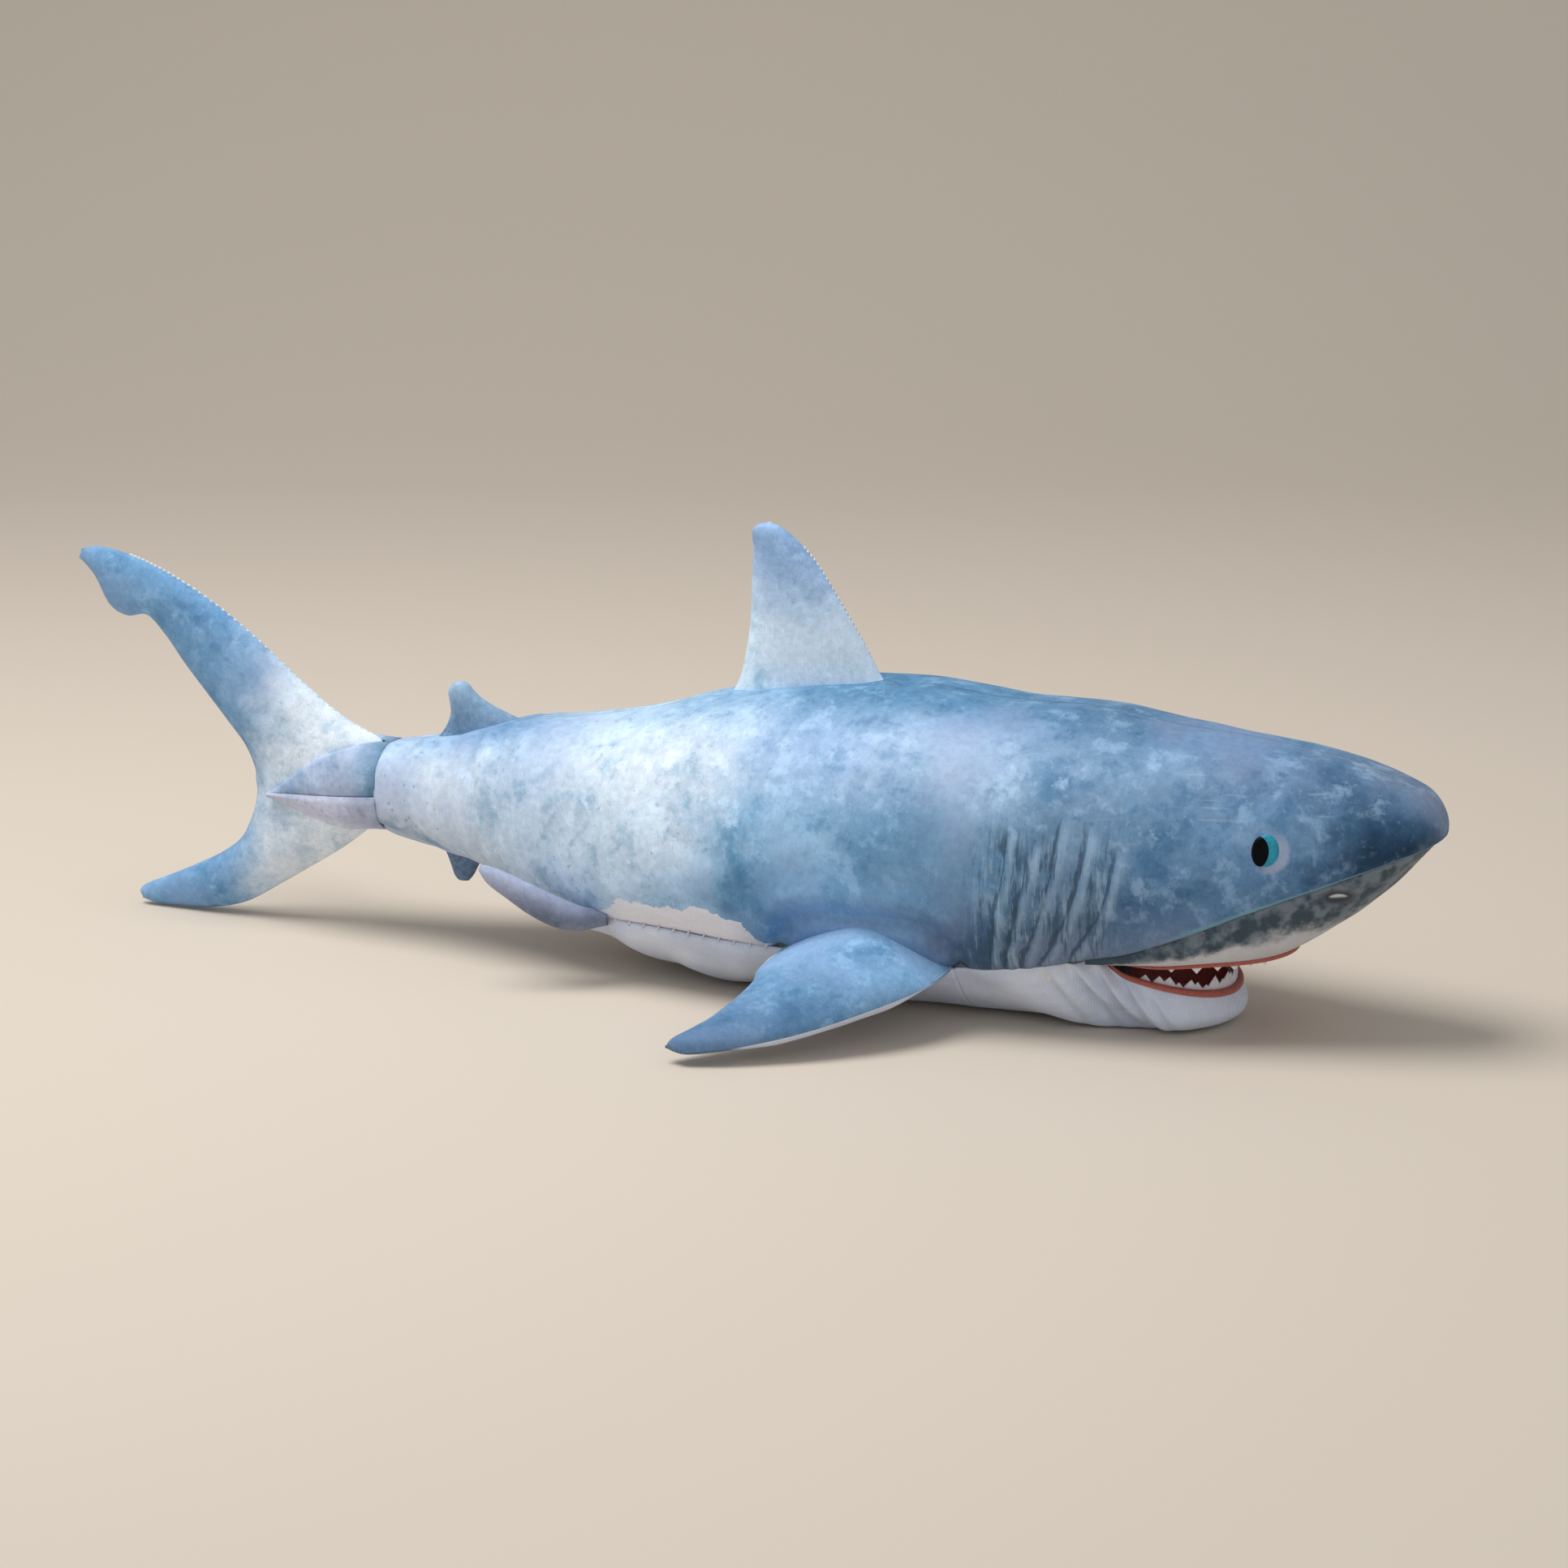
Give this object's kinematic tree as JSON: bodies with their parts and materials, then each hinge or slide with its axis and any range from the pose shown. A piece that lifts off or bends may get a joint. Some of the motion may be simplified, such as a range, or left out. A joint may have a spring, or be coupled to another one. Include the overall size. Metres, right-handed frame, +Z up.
{
  "type": "plush shark",
  "caption": "Stuffed fabric shark with an open toothed mouth, printed back, and soft fins and tail that bend and spring back",
  "frame": {"origin": "under the middle of the toy, on the surface it lies on", "axes": "+X to the nose, +Y to the shark's left, +Z up"},
  "size_m": [0.638, 0.2868, 0.1974],
  "materials": {
    "printed_fabric": "smooth short-pile polyester with a printed blue pattern",
    "white_fabric": "smooth short-pile polyester, white with soft grey print",
    "lining_fabric": "matte dark red woven lining",
    "lip_piping": "matte salmon piping",
    "white_felt": "matte white felt",
    "fibre_filling": "loose polyester fibre",
    "iris_thread": "satin-stitched blue thread",
    "pupil_thread": "satin-stitched black thread",
    "sewing_thread": "white sewing thread"
  },
  "bodies": {
    "torso": {"back_cover_left": "printed_fabric", "back_cover_right": "printed_fabric", "belly_cover": "white_fabric", "closing_stitches": "sewing_thread", "iris_left": "iris_thread", "iris_right": "iris_thread", "pupil_left": "pupil_thread", "pupil_right": "pupil_thread", "snout_cover": "white_fabric", "torso_filling": "fibre_filling", "upper_lip": "lip_piping", "upper_mouth_lining": "lining_fabric", "upper_teeth": "white_felt"},
    "jaw": {"jaw_cover": "white_fabric", "jaw_filling": "fibre_filling", "lower_lip": "lip_piping", "lower_mouth_lining": "lining_fabric", "lower_teeth": "white_felt"},
    "rear_body": {"anal_fin": "printed_fabric", "rear_belly_cover": "printed_fabric", "rear_cover_left": "printed_fabric", "rear_cover_right": "printed_fabric", "rear_filling": "fibre_filling", "second_dorsal_fin": "printed_fabric", "tail_stock_filling": "fibre_filling", "tail_stock_lower_cover": "printed_fabric", "tail_stock_upper_cover": "printed_fabric"},
    "tail_fin": {"tail_fin_cover_left": "printed_fabric", "tail_fin_cover_right": "printed_fabric", "tail_fin_filling": "fibre_filling"},
    "dorsal_fin": {"dorsal_cover_left": "printed_fabric", "dorsal_cover_right": "printed_fabric", "dorsal_filling": "fibre_filling"},
    "pectoral_fin_right": {"pectoral_bottom_cover_right": "white_fabric", "pectoral_filling_right": "fibre_filling", "pectoral_top_cover_right": "printed_fabric"},
    "pectoral_fin_left": {"pectoral_bottom_cover_left": "white_fabric", "pectoral_filling_left": "fibre_filling", "pectoral_top_cover_left": "printed_fabric"},
    "pelvic_fin_right": {"pelvic_filling_right": "fibre_filling", "pelvic_inner_cover_right": "white_fabric", "pelvic_outer_cover_right": "printed_fabric"},
    "pelvic_fin_left": {"pelvic_filling_left": "fibre_filling", "pelvic_inner_cover_left": "white_fabric", "pelvic_outer_cover_left": "printed_fabric"}
  },
  "joints": [
    {"name": "jaw_open", "type": "hinge", "parent": "torso", "child": "jaw", "pos_m": [0.184, 0, 0.034], "axis": [0, 1, 0], "range_deg": [-8, 15], "stiffness_Nm_per_rad": 0.5},
    {"name": "tail_swing", "type": "hinge", "parent": "torso", "child": "rear_body", "pos_m": [-0.1, 0, 0.067], "axis": [0, 0, 1], "range_deg": [-20, 20], "stiffness_Nm_per_rad": 0.6},
    {"name": "tail_fin_swing", "type": "hinge", "parent": "rear_body", "child": "tail_fin", "pos_m": [-0.178, 0, 0.067], "axis": [0, 0, 1], "range_deg": [-32, 32], "stiffness_Nm_per_rad": 0.3},
    {"name": "dorsal_lean", "type": "hinge", "parent": "torso", "child": "dorsal_fin", "pos_m": [0.05, 0, 0.132], "axis": [0.9903, 0, 0.1392], "range_deg": [-30, 30], "stiffness_Nm_per_rad": 0.2},
    {"name": "pectoral_flap_right", "type": "hinge", "parent": "torso", "child": "pectoral_fin_right", "pos_m": [0.088, -0.058, 0.027], "axis": [-1, 0, 0], "range_deg": [-10, 28], "stiffness_Nm_per_rad": 0.3},
    {"name": "pectoral_flap_left", "type": "hinge", "parent": "torso", "child": "pectoral_fin_left", "pos_m": [0.088, 0.058, 0.027], "axis": [1, 0, 0], "range_deg": [-10, 28], "stiffness_Nm_per_rad": 0.3},
    {"name": "pelvic_splay_right", "type": "hinge", "parent": "torso", "child": "pelvic_fin_right", "pos_m": [-0.038, -0.051, 0.031], "axis": [0, 0, 1], "range_deg": [-2, 45], "stiffness_Nm_per_rad": 0.03},
    {"name": "pelvic_splay_left", "type": "hinge", "parent": "torso", "child": "pelvic_fin_left", "pos_m": [-0.038, 0.051, 0.031], "axis": [0, 0, -1], "range_deg": [-2, 45], "stiffness_Nm_per_rad": 0.03}
  ]
}
